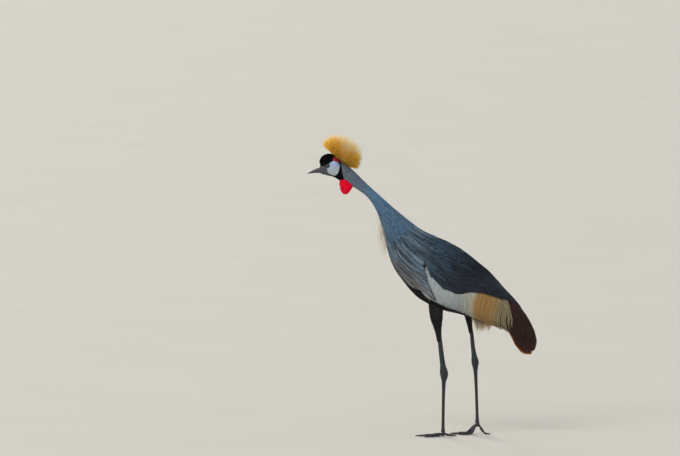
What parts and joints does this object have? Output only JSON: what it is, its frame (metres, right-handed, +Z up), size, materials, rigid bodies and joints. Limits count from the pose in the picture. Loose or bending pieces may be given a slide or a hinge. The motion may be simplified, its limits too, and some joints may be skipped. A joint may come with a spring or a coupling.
{
  "type": "grey crowned crane",
  "caption": "Adult grey crowned crane in mid stride, neck stretched low and forward, golden bristle crest raised, wings folded over the body.",
  "frame": {"origin": "on the floor, in the midplane of the body, under the middle of the bird's length from bill tip to plume tips", "axes": "the bird faces -X, its left side is -Y, +Z is up from the floor to the crest"},
  "size_m": [0.8036, 0.1985, 1.0554],
  "materials": {
    "head_velvet": "matte",
    "neck_grey": "matte",
    "body_grey": "matte",
    "wing_plumage": "satin",
    "tail_black": "satin",
    "crest_gold": "satin",
    "wattle_skin": "satin",
    "bill_horn": "satin",
    "eye_glass": "gloss",
    "leg_scale": "satin",
    "claw_horn": "gloss"
  },
  "bodies": {
    "root": {"head": "head_velvet", "bill_upper": "bill_horn", "bill_lower": "bill_horn", "eye_left": "eye_glass", "eye_right": "eye_glass", "wattle": "wattle_skin", "crest": "crest_gold", "neck": "neck_grey", "torso": "body_grey", "tail": "tail_black", "wing_left": "wing_plumage", "wing_right": "wing_plumage", "thigh_left": "tail_black", "shank_left": "leg_scale", "tarsus_left": "leg_scale", "foot_left": "leg_scale", "claw_left_middle": "claw_horn", "claw_left_inner": "claw_horn", "claw_left_outer": "claw_horn", "claw_left_hind": "claw_horn", "thigh_right": "tail_black", "shank_right": "leg_scale", "tarsus_right": "leg_scale", "foot_right": "leg_scale", "claw_right_middle": "claw_horn", "claw_right_inner": "claw_horn", "claw_right_outer": "claw_horn", "claw_right_hind": "claw_horn"}
  },
  "joints": []
}
